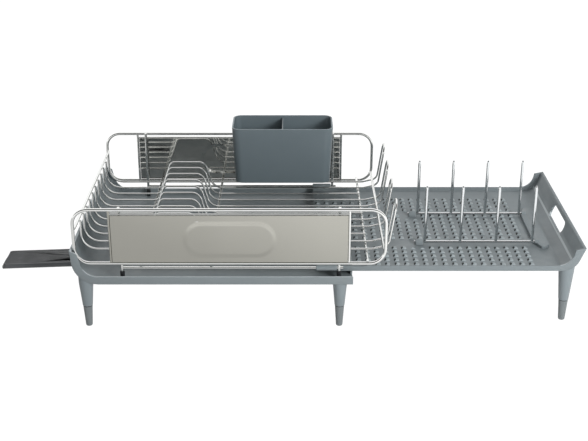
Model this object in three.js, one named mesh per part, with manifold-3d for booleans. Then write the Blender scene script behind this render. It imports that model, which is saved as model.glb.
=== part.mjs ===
// Expandable dish rack: a wire rack standing in a base tray with a swivelling spout, and an
// extension tray with two folding rows of tines. Millimetres, X along the rack, Y to the back,
// Z up. The rack's middle is at X 0 while the pieces are laid out.
import * as THREE from 'three';
import { mergeVertices } from 'three/addons/utils/BufferGeometryUtils.js';
import Module from 'manifold-3d';

const wasm = await Module();
wasm.setup();

// Between pieces that are welded, clipped or run on each other, and past the faces of a cut
const seatGap = 0.3;
const overrun = 5;

// Facets
const wireSides = 6;
const loopSides = 8;
const bendStep = Math.PI / 6;
const bendSlackShare = 0.01;
const arcSteps = 8;
const cornerSteps = 4;
const roundSides = 20;

// Side frames: a rounded loop of wire with two posts and a thin hem rod
const rackLength = 480;
const rackDepth = 354.7;
const loopWire = 5.3;
const loopHeight = 89.4;
const loopCorner = 24;
const loopBottom = 110;
const postWire = 4;
const postPlace = 184;
const hemWire = 2.4;
const hemDrop = 6.9;

// Sheet panels in the side frames, with returned edges and a raised field
const panelSheet = 1;
const panelReturn = 2.4;
const panelHeight = 77.75;
const fieldLength = 138;
const fieldHeight = 53.8;
const fieldBottom = 11.05;
const fieldRise = 1;

// Support wires across the bottom, and the cross wires at the two ends
const supportWire = 4.2;
const supportPlaces = [-141.3, -31.3, 212.7];
const leftCrossPlace = -238;
const leftCrossHeight = 57;
const rightCrossPlace = 238.6;
const rightCrossHeight = 17.5;

// Bottom wires, all but the first and the last with a hump that holds plates
const bottomWire = 3.2;
const bottomWireCount = 11;
const bottomWireInset = 32.85;
const bottomWirePitch = (rackDepth - 2 * bottomWireInset) / (bottomWireCount - 1);
const leftEndBend = 24;
const leftEndPast = 2;
const humpHeight = 48.3;
const humpFootLeft = -135.7;
const humpTopLeft = -118.7;
const humpTopRight = -58;
const humpFootRight = -44.8;
const humpFootBend = 10;
const humpLeftBend = 8;
const humpRightBend = 15;
const humpLowBend = 20;
const riseStart = 222;
const riseBend = 20;

// Prongs: upright hairpins that carry on from pairs of bottom wires
const prongPairs = [[0, 1], [3, 4], [6, 7], [9, 10]];
const prongLean = 8.4 * Math.PI / 180;
const prongRise = 71;
const prongBend = 12;
const prongStart = 0.8;
const prongReach = 8.5;

// Foot frames on the side frames' inner sides, with their caps and sleeves
const footWire = 4.6;
const footPlace = 168.8;
const footPostPast = 2;
const footBarDrop = 10.2;
const footBarPast = 4;
const footStop = 3.2;
const capDiameter = 7.2;
const capHeight = 13.6;
const sleeveDiameter = 9.4;
const sleeveLength = 32.7;
const sleeveInset = 3.1;

// Base tray: a flat trough whose left end sweeps up
const trayWall = 3;
const trayPastRack = 8.55;
const baseDepth = rackDepth + 2 * trayPastRack;
const baseUnderside = 77.15;
const baseBand = 13.15;
const baseRight = 190.5;
const baseArcPlace = -205.8;
const baseArcRadius = 39.4;
const baseRimRadius = 26.5;
const baseTopOuter = [-246.9, 134.6];
const baseTopInner = [-235.9, 128.7];
const baseLipPast = 20;

// Extension tray: runs out to the right on shoes, its right end sweeps up
const extensionInset = 18.8;
const extensionDepth = baseDepth - 2 * extensionInset;
const extensionUnderside = 91.6;
const extensionBand = 8.5;
const extensionLeft = 133.7;
const extensionArcPlace = 518.8;
const extensionArcRadius = 27.2;
const extensionRimPlace = 510.7;
const extensionRimRadius = 25.5;
const extensionTopOuter = [552.6, 130];
const extensionTopInner = [536.9, 126.8];
const ledgeWidth = 2.4;
const ledgeHeight = 2;
const handleLength = 87;
const handleHeight = 20;
const handleBottom = 102.5;
const handleCentre = -8.8;
const handleCorner = 9;
const shoeLength = 31;
const shoeWidth = 16;
const shoeInset = 47.1;
const shoePlace = extensionDepth / 2 - shoeInset;
const shoeChamfer = 3;

// Folding tine rows: a rod in two bearings with tapered tines
const tineRowPlaces = [-72.3, 45.2];
const tineWire = 4.8;
const tinePlaces = [312.7, 370.7, 429.2, 488.2];
const tineLength = 98;
const tineTipLength = 6;
const tineTipWidth = 2.6;
const rodAbove = 4.4;
const rodLeft = 295.5;
const rodRight = 499.5;
const clipLeft = 297.5;
const clipLength = 12.3;
const clipWidth = 11;
const clipCrown = 1.2;
const endPlateThickness = 4.5;
const endPlateLeft = 491.2;
const endPlateRight = 514.5;
const endPlateMiddle = -11;
const endPlateNarrow = 57;
const endPlateWide = 80.5;
const endPlateShoulder = 9.5;
const endPlateCorner = 7;
const bearingRadius = 3.9;
const bearingLength = 7;

// Legs and their tips
const legTop = 23;
const legRing = 15;
const legRingHeight = 36.5;
const legStep = 0.45;
const tipBottom = 10.5;
const tipRound = 1.2;
const tipSpigot = 8;
const tipSpigotLength = 6;
const baseLegLeft = -226.3;
const baseLegRight = 170.5;
const baseLegInset = 11.6;
const baseLegPlace = baseDepth / 2 - baseLegInset;
const extensionLegTop = 25;
const extensionLegInset = 12.8;
const extensionLegPlace = [527.7, extensionDepth / 2 - extensionLegInset];

// Spout: a trough that swivels in the drain hole
const spoutPlace = [-178, -69];
const spoutLength = 203;
const spoutWidth = 53.5;
const spoutDepth = 10.5;
const spoutBend = 8;
const spoutWall = 2.5;
const spoutRim = 75.7;
const spoutSlope = 2.1 * Math.PI / 180;
const spoutTipCorner = 13;
const neckRadius = 16.5;
const neckWall = 2;
const neckWindow = 4;
const shoulderRadius = 20;
const shoulderThickness = 2;
const drainRingRadius = 21;
const drainRingThickness = 2;
const drainSkirt = 8;
const drainSkirtWall = 1.8;

// Caddy: a tapered box with a divider, hooked over the back loop
const caddyInset = 47.15;
const caddyPlace = [78.7, rackDepth / 2 - caddyInset];
const caddyBottom = 137;
const caddyHeight = 100;
const caddyTopSize = [175.5, 81];
const caddyBottomSize = [166, 74];
const caddyCorner = 15;
const caddyWall = 2.5;
const dividerWall = 2;
const dividerDrop = 4;
const slotLength = 44;
const slotWidth = 4;
const slotPitch = 13;
const slotCount = 5;
const hookWidth = 14;
const hookThickness = 2.5;
const hookLip = 5;
const hookPlace = 52;

const chrome = new THREE.MeshStandardMaterial({ color: 0xd9dcdd, roughness: 0.12, metalness: 1 });
const satin = new THREE.MeshStandardMaterial({ color: 0xb4b3aa, roughness: 0.4, metalness: 0.9 });
const trayGrey = new THREE.MeshStandardMaterial({ color: 0x838d90, roughness: 0.5 });
const legGrey = new THREE.MeshStandardMaterial({ color: 0x8f999c, roughness: 0.45 });
const caddyGrey = new THREE.MeshStandardMaterial({ color: 0x5f6b72, roughness: 0.45 });
const darkGrey = new THREE.MeshStandardMaterial({ color: 0x4b4d4e, roughness: 0.5 });
const blackRubber = new THREE.MeshStandardMaterial({ color: 0x17191c, roughness: 0.7 });

// A closed geometry as a solid that can be joined and cut
function solidOf(geometry) {
  const bare = geometry.clone();
  bare.deleteAttribute('normal');
  bare.deleteAttribute('uv');
  const welded = mergeVertices(bare);
  const corners = welded.index.array;
  const kept = [];
  for (let i = 0; i < corners.length; i += 3) {
    const [a, b, c] = [corners[i], corners[i + 1], corners[i + 2]];
    if (a !== b && b !== c && c !== a) kept.push(a, b, c);
  }
  return new wasm.Manifold(new wasm.Mesh({
    numProp: 3,
    vertProperties: new Float32Array(welded.attributes.position.array),
    triVerts: new Uint32Array(kept),
  }));
}

// A joined or cut solid as a flat-shaded geometry
function geometryOf(solid) {
  const { vertProperties, triVerts } = solid.getMesh();
  const geometry = new THREE.BufferGeometry();
  geometry.setAttribute('position', new THREE.BufferAttribute(vertProperties, 3));
  geometry.setIndex(new THREE.BufferAttribute(triVerts, 1));
  const flat = geometry.toNonIndexed();
  flat.computeVertexNormals();
  return flat;
}

function joined(...geometries) {
  return geometries.map(solidOf).reduce((whole, next) => whole.add(next));
}

// A path through straight runs and round bends, with its rings just where the bends need them
class BentPath extends THREE.Curve {
  constructor(corners) {
    super();
    const places = corners.map((corner) => corner.at);
    const heading = (i) => places[i + 1].clone().sub(places[i]).normalize();
    this.points = [places[0]];
    this.tangents = [heading(0)];
    for (let i = 1; i < corners.length - 1; i += 1) {
      this.bend(places[i], corners[i].radius, heading(i - 1), heading(i));
    }
    this.points.push(places.at(-1));
    this.tangents.push(heading(places.length - 2));
  }

  bend(at, radius, inward, outward) {
    const turn = inward.angleTo(outward);
    const steps = Math.ceil(turn / bendStep - bendSlackShare);
    const side = outward.clone().addScaledVector(inward, -inward.dot(outward)).normalize();
    const start = at.clone().addScaledVector(inward, -radius * Math.tan(turn / 2));
    for (let step = 0; step <= steps; step += 1) {
      const angle = turn * step / steps;
      this.points.push(start.clone()
        .addScaledVector(inward, radius * Math.sin(angle))
        .addScaledVector(side, radius * (1 - Math.cos(angle))));
      this.tangents.push(inward.clone()
        .multiplyScalar(Math.cos(angle))
        .addScaledVector(side, Math.sin(angle)));
    }
  }

  get steps() {
    return this.points.length - 1;
  }

  getPointAt(share, target = new THREE.Vector3()) {
    return target.copy(this.points[Math.round(share * this.steps)]);
  }

  getTangentAt(share, target = new THREE.Vector3()) {
    return target.copy(this.tangents[Math.round(share * this.steps)]);
  }
}

const corner = (x, y, z, radius = 0) => ({ at: new THREE.Vector3(x, y, z), radius });

function roundSection(diameter, sides) {
  const points = [];
  for (let i = 0; i < sides; i += 1) {
    const angle = 2 * Math.PI * i / sides;
    points.push(new THREE.Vector2(Math.cos(angle), Math.sin(angle)).multiplyScalar(diameter / 2));
  }
  return points;
}

// A wire along corners whose bends are rounded
function wire(corners, diameter, sides = wireSides) {
  const path = new BentPath(corners);
  const section = new THREE.Shape(roundSection(diameter, sides));
  return new THREE.ExtrudeGeometry(section, { steps: path.steps, extrudePath: path, bevelEnabled: false });
}

// A wire bent into a closed loop in the XZ plane
function closedWire(corners, diameter, sides) {
  const path = new BentPath(corners);
  const rings = path.points.slice(0, -1);
  const section = roundSection(diameter, sides);
  const across = new THREE.Vector3(0, 1, 0);
  const positions = rings.flatMap((centre, i) => {
    const outward = path.tangents[i].clone().cross(across);
    return section.flatMap((point) => centre.clone()
      .addScaledVector(across, point.x).addScaledVector(outward, point.y).toArray());
  });
  const index = [];
  for (let ring = 0; ring < rings.length; ring += 1) {
    const next = (ring + 1) % rings.length;
    for (let side = 0; side < sides; side += 1) {
      const over = (side + 1) % sides;
      const [a, b] = [ring * sides + side, ring * sides + over];
      const [c, d] = [next * sides + over, next * sides + side];
      index.push(a, b, d, b, c, d);
    }
  }
  const geometry = new THREE.BufferGeometry();
  geometry.setAttribute('position', new THREE.Float32BufferAttribute(positions, 3));
  geometry.setIndex(index);
  return geometry;
}

// Shapes drawn in XZ and run along Y, drawn in YZ and run along X, or turned about Z
function alongY(shape, width) {
  return new THREE.ExtrudeGeometry(shape, { depth: width, bevelEnabled: false, curveSegments: arcSteps })
    .rotateX(Math.PI / 2).translate(0, width / 2, 0);
}

function alongX(shape, length) {
  return new THREE.ExtrudeGeometry(shape, { depth: length, bevelEnabled: false, curveSegments: arcSteps })
    .rotateX(Math.PI / 2).rotateZ(Math.PI / 2);
}

function turned(profile, sides = roundSides) {
  const points = profile.map(([radius, height]) => new THREE.Vector2(radius, height));
  return new THREE.LatheGeometry(points, sides).rotateX(Math.PI / 2);
}

function roundedRectangle(width, height, radius) {
  const shape = new THREE.Shape();
  const [x, y] = [width / 2 - radius, height / 2 - radius];
  shape.absarc(x, y, radius, 0, Math.PI / 2);
  shape.absarc(-x, y, radius, Math.PI / 2, Math.PI);
  shape.absarc(-x, -y, radius, Math.PI, 3 * Math.PI / 2);
  shape.absarc(x, -y, radius, 3 * Math.PI / 2, 2 * Math.PI);
  return shape;
}

function polygon(points) {
  return new THREE.Shape(points.map(([x, y]) => new THREE.Vector2(x, y)));
}

const named = (name, geometry, material) => {
  const mesh = new THREE.Mesh(geometry, material);
  mesh.name = name;
  return mesh;
};

// Side frame in the plane Y 0
const loopTop = loopBottom + loopHeight;
const railTop = loopBottom + loopWire / 2;

function sideFrame() {
  const half = rackLength / 2;
  const loop = closedWire([
    corner(0, 0, loopTop),
    corner(half, 0, loopTop, loopCorner),
    corner(half, 0, loopBottom, loopCorner),
    corner(-half, 0, loopBottom, loopCorner),
    corner(-half, 0, loopTop, loopCorner),
    corner(0, 0, loopTop),
  ], loopWire, loopSides);
  const post = (x) => wire([corner(x, 0, loopBottom), corner(x, 0, loopTop)], postWire, loopSides);
  const hemHeight = loopTop - hemDrop;
  const hem = wire([corner(-postPlace, 0, hemHeight), corner(postPlace, 0, hemHeight)], hemWire);
  return geometryOf(joined(loop, post(-postPlace), post(postPlace), hem));
}

// Panel for the front frame: the raised field faces -Y
function sidePanel() {
  const length = 2 * (postPlace - postWire / 2 - seatGap);
  const bottom = railTop + seatGap;
  const block = (x, y, z) => new THREE.BoxGeometry(x, y, z);
  const pan = solidOf(block(length, panelReturn, panelHeight))
    .subtract(solidOf(block(length - 2 * panelSheet, panelReturn, panelHeight - 2 * panelSheet)
      .translate(0, panelSheet, 0)));
  const field = (shrink, out) => solidOf(alongY(
    roundedRectangle(fieldLength - 2 * shrink, fieldHeight - 2 * shrink, fieldHeight / 2 - shrink), panelSheet,
  ).translate(0, out - panelReturn / 2 + panelSheet / 2, fieldBottom + fieldHeight / 2 - panelHeight / 2));
  return geometryOf(pan.add(field(0, -fieldRise)).subtract(field(panelSheet, 0)))
    .translate(0, -panelReturn / 2, bottom + panelHeight / 2);
}

// Heights of the wires that lie on each other, from the side frames' bottom wires upward
const supportHeight = railTop + seatGap + supportWire / 2;
const bottomWireHeight = supportHeight + supportWire / 2 + seatGap + bottomWire / 2;
const leftCrossZ = loopBottom + leftCrossHeight;
const rightCrossZ = loopBottom + rightCrossHeight;

// Line of one bottom wire from the left cross wire to its right end
function bottomWireLine(humped, rises) {
  const leftEnd = leftCrossPlace + supportWire / 2 + seatGap + bottomWire / 2;
  const line = [
    corner(leftEnd, 0, leftCrossZ + leftEndPast),
    corner(leftEnd, 0, bottomWireHeight, leftEndBend),
  ];
  if (humped) {
    const top = bottomWireHeight + humpHeight;
    line.push(
      corner(humpFootLeft, 0, bottomWireHeight, humpFootBend),
      corner(humpTopLeft, 0, top, humpLeftBend),
      corner(humpTopRight, 0, top, humpRightBend),
      corner(humpFootRight, 0, bottomWireHeight, humpLowBend),
    );
  }
  if (!rises) return [...line, corner(Math.max(...supportPlaces) + supportWire / 2, 0, bottomWireHeight)];
  return [...line, corner(riseStart, 0, bottomWireHeight, riseBend), prongFoot(-seatGap)];
}

// Where the rising wire passes under the right cross wire, and points along that rise
function prongFoot(past) {
  const under = supportWire / 2 + seatGap + bottomWire / 2;
  const run = rightCrossPlace - riseStart;
  const rise = rightCrossZ - bottomWireHeight;
  const slope = Math.atan2(rise, run) - Math.asin(under / Math.hypot(rise, run));
  const reach = run / Math.cos(slope) + prongStart + past;
  return corner(riseStart + reach * Math.cos(slope), 0, bottomWireHeight + reach * Math.sin(slope));
}

// Hairpin with one leg at Y 0 and the other at the next bottom wire
function prong() {
  const foot = prongFoot(0).at;
  const bendAt = prongFoot(prongReach).at;
  const lean = Math.tan(prongLean);
  const top = [bendAt.x + prongRise * lean, bendAt.z + prongRise];
  const round = bottomWirePitch / 2;
  return wire([
    corner(foot.x, 0, foot.z),
    corner(bendAt.x, 0, bendAt.z, prongBend),
    corner(...[top[0], 0, top[1]], round),
    corner(...[top[0], -bottomWirePitch, top[1]], round),
    corner(bendAt.x, -bottomWirePitch, bendAt.z, prongBend),
    corner(foot.x, -bottomWirePitch, foot.z),
  ], bottomWire);
}

function crossWire(length, diameter) {
  return wire([corner(0, -length / 2, 0), corner(0, length / 2, 0)], diameter);
}

// Foot frame in the plane Y 0: two posts from the caps up past the loop, and a bar between them
const footInset = loopWire / 2 + seatGap + footWire / 2;
const footBarHeight = loopBottom - footBarDrop;
const baseFloor = baseUnderside + trayWall;
const capBottom = baseFloor + seatGap;

function footFrame() {
  const footEnd = capBottom + footStop + seatGap;
  const footTop = loopTop + footPostPast;
  const post = (x) => wire([corner(x, 0, footEnd), corner(x, 0, footTop)], footWire, loopSides);
  const bar = wire([
    corner(-footPlace, 0, footBarHeight),
    corner(footPlace + footWire / 2 + footBarPast, 0, footBarHeight),
  ], footWire, loopSides);
  return geometryOf(joined(post(-footPlace), post(footPlace), bar));
}

function footCap() {
  const bore = footWire / 2 + seatGap;
  return turned([
    [0, 0], [capDiameter / 2, 0], [capDiameter / 2, capHeight],
    [bore, capHeight], [bore, footStop], [0, footStop],
  ]);
}

function footSleeve() {
  const bore = footWire / 2 + seatGap;
  const [inner, outer] = [bore, sleeveDiameter / 2];
  return turned([[inner, 0], [outer, 0], [outer, sleeveLength], [inner, sleeveLength], [inner, 0]])
    .rotateY(Math.PI / 2);
}

// Side profile of a tray: flat, then an arc, then straight to its top corner. `end` is 1 where the
// tray sweeps up on the right and -1 on the left. A positive inset moves the line into the tray.
function sweep({ start, flat, arcPlace, radius, top, end }, inset, past = 0) {
  const centre = [end * arcPlace, flat + radius];
  const toTop = [end * top[0] - centre[0], top[1] - centre[1]];
  const distance = Math.hypot(...toTop);
  const last = Math.atan2(toTop[1], toTop[0]) - Math.acos(radius / distance);
  const points = [[start, flat + inset]];
  for (let step = 0; step <= arcSteps; step += 1) {
    const angle = -Math.PI / 2 + (last + Math.PI / 2) * step / arcSteps;
    points.push([
      end * (centre[0] + (radius - inset) * Math.cos(angle)),
      centre[1] + (radius - inset) * Math.sin(angle),
    ]);
  }
  const straight = Math.sqrt(distance ** 2 - radius ** 2) + past;
  const [x, z] = points.at(-1);
  points.push([x - end * straight * Math.sin(last), z + straight * Math.cos(last)]);
  return points;
}

// Band of the tray's side, hollowed down to its floor and end wall
function trayShell(outer, rim, depth) {
  const band = polygon([...sweep(outer, 0), ...sweep(rim, 0).reverse()]);
  return solidOf(alongY(band, depth)).subtract(solidOf(alongY(above(outer, trayWall), depth - 2 * trayWall)));
}

// Everything above a tray's outer line, moved in by an inset
function above(outer, inset) {
  const line = sweep(outer, inset, baseArcRadius);
  const high = line.at(-1)[1];
  return polygon([[outer.start - outer.end * overrun, line[0][1]], ...line,
    [outer.start - outer.end * overrun, high]]);
}

const baseOuter = {
  start: baseRight, flat: baseUnderside, arcPlace: baseArcPlace, radius: baseArcRadius,
  top: baseTopOuter, end: -1,
};
const baseRim = {
  start: baseRight, flat: baseUnderside + baseBand, arcPlace: baseArcPlace, radius: baseRimRadius,
  top: baseTopInner, end: -1,
};
const extensionOuter = {
  start: extensionLeft, flat: extensionUnderside, arcPlace: extensionArcPlace, radius: extensionArcRadius,
  top: extensionTopOuter, end: 1,
};
const extensionRim = {
  start: extensionLeft, flat: extensionUnderside + extensionBand, arcPlace: extensionRimPlace,
  radius: extensionRimRadius, top: extensionTopInner, end: 1,
};

function baseTray() {
  const lipHeight = extensionUnderside - seatGap - baseUnderside;
  const lip = new THREE.BoxGeometry(trayWall, extensionDepth - baseLipPast, lipHeight)
    .translate(baseRight - trayWall / 2, 0, baseUnderside + lipHeight / 2);
  const drain = turned([
    [0, -overrun], [neckRadius + seatGap, -overrun], [neckRadius + seatGap, overrun + trayWall],
    [0, overrun + trayWall],
  ], 2 * roundSides).translate(...spoutPlace, baseUnderside);
  return geometryOf(trayShell(baseOuter, baseRim, baseDepth).add(solidOf(lip)).subtract(solidOf(drain)));
}

function extensionTray() {
  const hole = alongX(roundedRectangle(handleLength, handleHeight, handleCorner), 2 * handleHeight)
    .translate(extensionArcPlace + extensionArcRadius / 2, handleCentre, handleBottom + handleHeight / 2);
  let solid = trayShell(extensionOuter, extensionRim, extensionDepth).subtract(solidOf(hole));

  // Ledges at the foot of both long walls, let into wall and floor
  const [across, up] = [ledgeWidth + trayWall / 2, ledgeHeight + trayWall / 2];
  for (const sign of [-1, 1]) {
    const ledge = new THREE.BoxGeometry(extensionArcPlace - extensionLeft, across, up).translate(
      (extensionLeft + extensionArcPlace) / 2,
      sign * (extensionDepth / 2 - trayWall / 2 - across / 2),
      extensionUnderside + trayWall / 2 + up / 2,
    );
    solid = solid.add(solidOf(ledge));
  }
  return geometryOf(solid);
}

// Shoe under the extension's left end, from the base floor to the extension's underside
function slideShoe() {
  const [bottom, top] = [baseFloor + seatGap, extensionUnderside - seatGap];
  const [left, right] = [extensionLeft + seatGap, extensionLeft + seatGap + shoeLength];
  return alongY(polygon([
    [left + shoeChamfer, bottom], [right - shoeChamfer, bottom], [right, bottom + shoeChamfer],
    [right, top], [left, top], [left, bottom + shoeChamfer],
  ]), shoeWidth);
}

// A row of tines welded on its rod, in the plane Y 0
const extensionFloor = extensionUnderside + trayWall;
const rodHeight = extensionFloor + rodAbove;

function tineRow() {
  const rod = wire([corner(rodLeft, 0, rodHeight), corner(rodRight, 0, rodHeight)], tineWire, loopSides);
  const [radius, shoulder] = [tineWire / 2, tineLength - tineTipLength];
  const tine = (x) => turned([
    [0, 0], [radius, 0], [radius, shoulder], [tineTipWidth / 2, tineLength], [0, tineLength],
  ], loopSides).translate(x, 0, rodHeight);
  return geometryOf(joined(rod, ...tinePlaces.map(tine)));
}

// Bearing block for the left end of a rod: round crown, drilled through
function rodClip() {
  const crown = clipWidth / 2;
  const bottom = extensionFloor + seatGap;
  const shape = new THREE.Shape();
  shape.moveTo(-crown, bottom);
  shape.lineTo(crown, bottom);
  shape.lineTo(crown, rodHeight - clipCrown);
  shape.absellipse(0, rodHeight - clipCrown, crown, crown, 0, Math.PI);
  const bore = roundSection(tineWire + 2 * seatGap, wireSides * 2);
  shape.holes.push(new THREE.Path(bore.map((point) => new THREE.Vector2(point.x, point.y + rodHeight))));
  return alongX(shape, clipLength).translate(clipLeft, 0, 0);
}

// Plate on the floor at the right end that carries both rods
function rodEndPlate() {
  const half = [
    [endPlateLeft, endPlateNarrow], [endPlateLeft + endPlateShoulder, endPlateWide],
    [endPlateRight - endPlateCorner, endPlateWide], [endPlateRight, endPlateWide - endPlateCorner],
  ];
  const outline = polygon([...half.map(([x, y]) => [x, -y]), ...half.reverse()]);
  const plate = new THREE.ExtrudeGeometry(outline, { depth: endPlateThickness, bevelEnabled: false })
    .translate(0, endPlateMiddle, extensionFloor + seatGap);
  let solid = solidOf(plate);
  const outside = Math.min(...tineRowPlaces) - endPlateMiddle + endPlateNarrow;
  const bearingLeft = endPlateLeft + Math.abs(outside) * endPlateShoulder / (endPlateWide - endPlateNarrow);
  for (const y of tineRowPlaces) {
    const boss = turned([[0, 0], [bearingRadius, 0], [bearingRadius, bearingLength], [0, bearingLength]])
      .rotateY(Math.PI / 2).translate(bearingLeft, y, rodHeight);
    solid = solid.add(solidOf(boss));
  }
  for (const y of tineRowPlaces) {
    const radius = tineWire / 2 + seatGap;
    const length = rodRight + seatGap - endPlateLeft + overrun;
    const bore = turned([[0, 0], [radius, 0], [radius, length], [0, length]])
      .rotateY(Math.PI / 2).translate(endPlateLeft - overrun, y, rodHeight);
    solid = solid.subtract(solidOf(bore));
  }
  return geometryOf(solid);
}

// Leg from its ring up into the tray's underside, with a socket for the tip
function leg(topDiameter, seatOn, place) {
  const high = seatOn.flat + seatOn.radius;
  const bore = tipSpigot / 2 + seatGap;
  const boreTop = legRingHeight + tipSpigotLength + seatGap;
  const body = turned([
    [bore, legRingHeight], [legRing / 2 + legStep, legRingHeight], [topDiameter / 2, seatOn.flat],
    [topDiameter / 2, high], [0, high], [0, boreTop], [bore, boreTop], [bore, legRingHeight],
  ]).translate(place[0], 0, 0);
  const tray = solidOf(alongY(above(seatOn, -seatGap), 2 * topDiameter));
  return geometryOf(solidOf(body).subtract(tray)).translate(-place[0], 0, 0);
}

function legTip() {
  const top = legRingHeight - seatGap;
  return turned([
    [0, 0], [tipBottom / 2 - tipRound, 0], [tipBottom / 2, tipRound], [legRing / 2, top], [tipSpigot / 2, top],
    [tipSpigot / 2, legRingHeight + tipSpigotLength], [0, legRingHeight + tipSpigotLength],
  ]);
}

// Spout about its swivel axis, pointing to -X
function spout() {
  const half = (inset) => {
    const [reach, low, round] = [spoutWidth / 2 - inset, inset - spoutDepth, spoutBend - inset];
    const points = [];
    for (let step = 0; step <= cornerSteps; step += 1) {
      const angle = Math.PI / 2 * step / cornerSteps;
      points.push([reach - round + round * Math.sin(angle), low + round - round * Math.cos(angle)]);
    }
    return [...points, [reach, 0]];
  };
  const whole = (points) => [...points.map(([y, z]) => [-y, z]).reverse(), ...points];
  const section = polygon([...whole(half(0)), ...whole(half(spoutWall)).reverse()]);
  const trough = solidOf(alongX(section, spoutLength).translate(-spoutLength, 0, 0));
  const tip = new THREE.ExtrudeGeometry(roundedRectangle(2 * spoutLength, spoutWidth, spoutTipCorner), {
    depth: 2 * spoutWidth, bevelEnabled: false, curveSegments: cornerSteps,
  }).translate(0, 0, -spoutWidth);
  const bowl = turned([
    [0, -spoutDepth], ...half(0), ...half(spoutWall).reverse(), [0, spoutWall - spoutDepth],
  ]);
  const sloped = trough.intersect(solidOf(tip)).add(solidOf(bowl)).getMesh();
  const dish = new THREE.BufferGeometry();
  dish.setAttribute('position', new THREE.BufferAttribute(sloped.vertProperties, 3));
  dish.setIndex(new THREE.BufferAttribute(sloped.triVerts, 1));
  dish.rotateY(-spoutSlope).translate(0, 0, spoutRim);

  const shoulderTop = baseUnderside - seatGap;
  const bore = neckRadius - neckWall;
  const neckBottom = spoutRim - spoutDepth + spoutWall / 2;
  const neck = turned([
    [bore, neckBottom], [neckRadius, neckBottom], [neckRadius, shoulderTop - shoulderThickness],
    [shoulderRadius, shoulderTop - shoulderThickness], [shoulderRadius, shoulderTop],
    [neckRadius, shoulderTop], [neckRadius, baseFloor], [bore, baseFloor], [bore, neckBottom],
  ]);
  const gate = new THREE.BoxGeometry(spoutWidth, 2 * bore * Math.SQRT1_2, neckWindow)
    .translate(-spoutWidth / 2, 0, neckBottom + (spoutWall + neckWindow) / 2);
  return geometryOf(solidOf(neck).subtract(solidOf(gate)).add(solidOf(dish)));
}

// Ring that holds the neck from above, with a skirt down inside it
function drainRing() {
  const skirtOuter = neckRadius - neckWall - seatGap;
  const skirtInner = skirtOuter - drainSkirtWall;
  const bottom = baseFloor + seatGap;
  return turned([
    [skirtInner, bottom - drainSkirt], [skirtOuter, bottom - drainSkirt], [skirtOuter, bottom],
    [drainRingRadius, bottom], [drainRingRadius, bottom + drainRingThickness],
    [skirtInner, bottom + drainRingThickness], [skirtInner, bottom - drainSkirt],
  ]);
}

// Upright box that narrows to its bottom, standing on Z 0
function taperedBox(topSize, bottomSize, radius) {
  const geometry = new THREE.ExtrudeGeometry(roundedRectangle(...topSize, radius), {
    depth: caddyHeight, bevelEnabled: false, curveSegments: cornerSteps,
  });
  const position = geometry.attributes.position;
  for (let i = 0; i < position.count; i += 1) {
    const share = position.getZ(i) / caddyHeight;
    position.setX(i, position.getX(i) * THREE.MathUtils.lerp(bottomSize[0] / topSize[0], 1, share));
    position.setY(i, position.getY(i) * THREE.MathUtils.lerp(bottomSize[1] / topSize[1], 1, share));
  }
  return geometry;
}

function caddy() {
  const outer = solidOf(taperedBox(caddyTopSize, caddyBottomSize, caddyCorner));
  const inset = (size) => size.map((length) => length - 2 * caddyWall);
  const inner = solidOf(taperedBox(inset(caddyTopSize), inset(caddyBottomSize), caddyCorner - caddyWall)
    .translate(0, 0, caddyWall));
  const dividerHeight = caddyHeight - dividerDrop;
  const divider = solidOf(new THREE.BoxGeometry(dividerWall, caddyTopSize[1], dividerHeight)
    .translate(0, 0, dividerHeight / 2)).intersect(outer);
  let solid = outer.subtract(inner).add(divider);
  for (const side of [-1, 1]) {
    for (let i = 0; i < slotCount; i += 1) {
      const x = side * (caddyBottomSize[0] / 4 + (i - (slotCount - 1) / 2) * slotPitch);
      const slot = new THREE.BoxGeometry(slotWidth, slotLength, 2 * overrun).translate(x, 0, 0);
      solid = solid.subtract(solidOf(slot));
    }
  }

  // Hooks over the loop's top wire, drawn about that wire
  const under = loopWire / 2 + seatGap;
  const root = caddyPlace[1] + caddyTopSize[1] / 2 - caddyWall - rackDepth / 2;
  const over = under + hookThickness;
  const hookShape = polygon([
    [root, under], [under, under], [under, -hookLip], [over, -hookLip], [over, over], [root, over],
  ]);
  for (const side of [-1, 1]) {
    const hook = alongX(hookShape, hookWidth)
      .translate(side * hookPlace - hookWidth / 2, rackDepth / 2 - caddyPlace[1], loopTop - caddyBottom);
    solid = solid.add(solidOf(hook));
  }
  return geometryOf(solid);
}

// Assembly
const rack = new THREE.Group();
const sides = [['front', -1], ['back', 1]];

for (const [side, sign] of sides) {
  const frame = new THREE.Group();
  frame.position.y = sign * rackDepth / 2;
  frame.add(named(`side_frame_${side}`, sideFrame(), chrome));
  const panel = named(`panel_${side}`, sidePanel(), satin);
  panel.rotation.z = sign > 0 ? Math.PI : 0;
  panel.position.y = sign * seatGap;
  frame.add(panel);

  const foot = new THREE.Group();
  foot.position.y = -sign * footInset;
  foot.add(named(`foot_frame_${side}`, footFrame(), chrome));
  for (const [end, direction] of [['left', -1], ['right', 1]]) {
    const cap = named(`foot_cap_${side}_${end}`, footCap(), blackRubber);
    cap.position.set(direction * footPlace, 0, capBottom);
    foot.add(cap);
  }
  const sleeve = named(`foot_sleeve_${side}`, footSleeve(), trayGrey);
  sleeve.position.set(footPlace - sleeveInset - sleeveLength, 0, footBarHeight);
  foot.add(sleeve);
  frame.add(foot);
  rack.add(frame);
}

for (let i = 0; i < bottomWireCount; i += 1) {
  const humped = i > 0 && i < bottomWireCount - 1;
  const rises = prongPairs.some((pair) => pair.includes(i));
  const mesh = named(`bottom_wire_${i + 1}`, wire(bottomWireLine(humped, rises), bottomWire), chrome);
  mesh.position.y = ((bottomWireCount - 1) / 2 - i) * bottomWirePitch;
  rack.add(mesh);
}

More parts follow.
